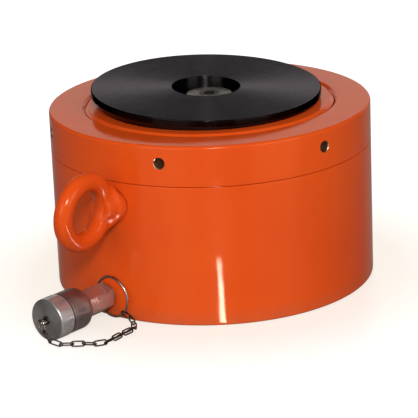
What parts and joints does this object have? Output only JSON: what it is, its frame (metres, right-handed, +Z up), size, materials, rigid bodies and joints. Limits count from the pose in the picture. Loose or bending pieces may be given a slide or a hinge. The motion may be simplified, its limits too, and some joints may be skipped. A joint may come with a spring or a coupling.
{
  "type": "lock nut hydraulic cylinder",
  "caption": "Low-height load-return hydraulic cylinder with a screwed lock nut, tilting saddle, lifting eyes and a capped hose coupler.",
  "frame": {"origin": "centre of the base face, on the cylinder's axis", "axes": "+Z up along the plunger's stroke; -Y towards the viewer in the picture, +X to the right; the coupler points to the front left"},
  "size_m": [0.2882, 0.343, 0.1695],
  "materials": {
    "body_paint": "gloss orange enamel",
    "wiper_rubber": "matte",
    "eye_paint": "gloss orange enamel",
    "nipple_steel": "plated",
    "adapter_steel": "smooth plated",
    "coupler_steel": "turned and plated",
    "poppet_steel": "hardened and ground",
    "spring_steel": "spring wire",
    "tether_steel": "bright wire",
    "chain_steel": "dull wire",
    "nut_paint": "gloss orange enamel",
    "plunger_coat": "orange enamel over turned steel",
    "seal_rubber": "matte",
    "backup_plastic": "matte",
    "wear_plastic": "matte",
    "spacer_steel": "plain turned steel",
    "retainer_steel": "darkened steel",
    "screw_steel": "black oxide",
    "saddle_black": "black oxide over lathe-turned steel",
    "swivel_steel": "bright",
    "cap_metal": "turned and plated, face matte",
    "gasket_rubber": "matte"
  },
  "bodies": {
    "cylinder": {"cylinder_body": "body_paint", "wiper_ring": "wiper_rubber", "lifting_eye_front": "eye_paint", "lifting_eye_rear": "eye_paint", "port_nipple": "nipple_steel", "coupler_adapter": "adapter_steel", "coupler_body": "coupler_steel", "coupler_poppet": "poppet_steel", "coupler_spring": "spring_steel", "tether_ring": "tether_steel", "chain_link_01": "chain_steel", "chain_link_02": "chain_steel", "chain_link_03": "chain_steel", "chain_link_04": "chain_steel"},
    "lock_nut": {"lock_nut": "nut_paint"},
    "plunger": {"plunger": "plunger_coat", "piston_seal": "seal_rubber", "seal_backup_ring": "backup_plastic", "piston_wear_ring": "wear_plastic", "saddle_spacer": "spacer_steel", "saddle_retainer_disc": "retainer_steel", "saddle_retainer_screw": "screw_steel"},
    "saddle": {"saddle": "saddle_black"},
    "chain_middle": {"chain_link_05": "chain_steel", "chain_link_06": "chain_steel"},
    "cap_swivel": {"cap_swivel_rivet": "swivel_steel", "chain_link_07": "chain_steel", "chain_link_08": "chain_steel", "chain_link_09": "chain_steel", "chain_link_10": "chain_steel", "chain_link_11": "chain_steel", "chain_link_12": "chain_steel", "chain_link_13": "chain_steel", "chain_link_14": "chain_steel", "chain_link_15": "chain_steel"},
    "dust_cap": {"dust_cap": "cap_metal", "cap_gasket": "gasket_rubber"}
  },
  "joints": [
    {"name": "nut_turn", "type": "hinge", "parent": "cylinder", "child": "lock_nut", "pos_m": [0, 0, 0.1188], "axis": [0, 0, -1], "range_deg": [0, 2025]},
    {"name": "plunger_lift", "type": "slide", "parent": "cylinder", "child": "plunger", "axis": [0, 0, 1], "range_m": [0, 0.045]},
    {"name": "saddle_tilt", "type": "hinge", "parent": "plunger", "child": "saddle", "pos_m": [0, 0, 0.24414], "axis": [0.7071, 0.7071, 0], "range_deg": [-7.5, 2.5]},
    {"name": "cap_slide", "type": "slide", "parent": "cylinder", "child": "cap_swivel", "axis": [-0.6626, -0.749, 0], "range_m": [0, 0.01008]},
    {"name": "chain_slide", "type": "slide", "parent": "cylinder", "child": "chain_middle", "axis": [-0.6626, -0.749, 0], "range_m": [0, 0.00504]},
    {"name": "cap_turn", "type": "hinge", "parent": "cap_swivel", "child": "dust_cap", "pos_m": [-0.13809, -0.15608, 0.018], "axis": [-0.6626, -0.749, 0], "range_deg": [0, 2016]}
  ],
  "couplings": [
    {"joint": "plunger_lift", "follows": "nut_turn", "m_per_rad": 0.0012732},
    {"joint": "cap_turn", "follows": "cap_slide", "rad_per_m": 3490.7},
    {"joint": "chain_slide", "follows": "cap_slide", "ratio": 0.5}
  ]
}
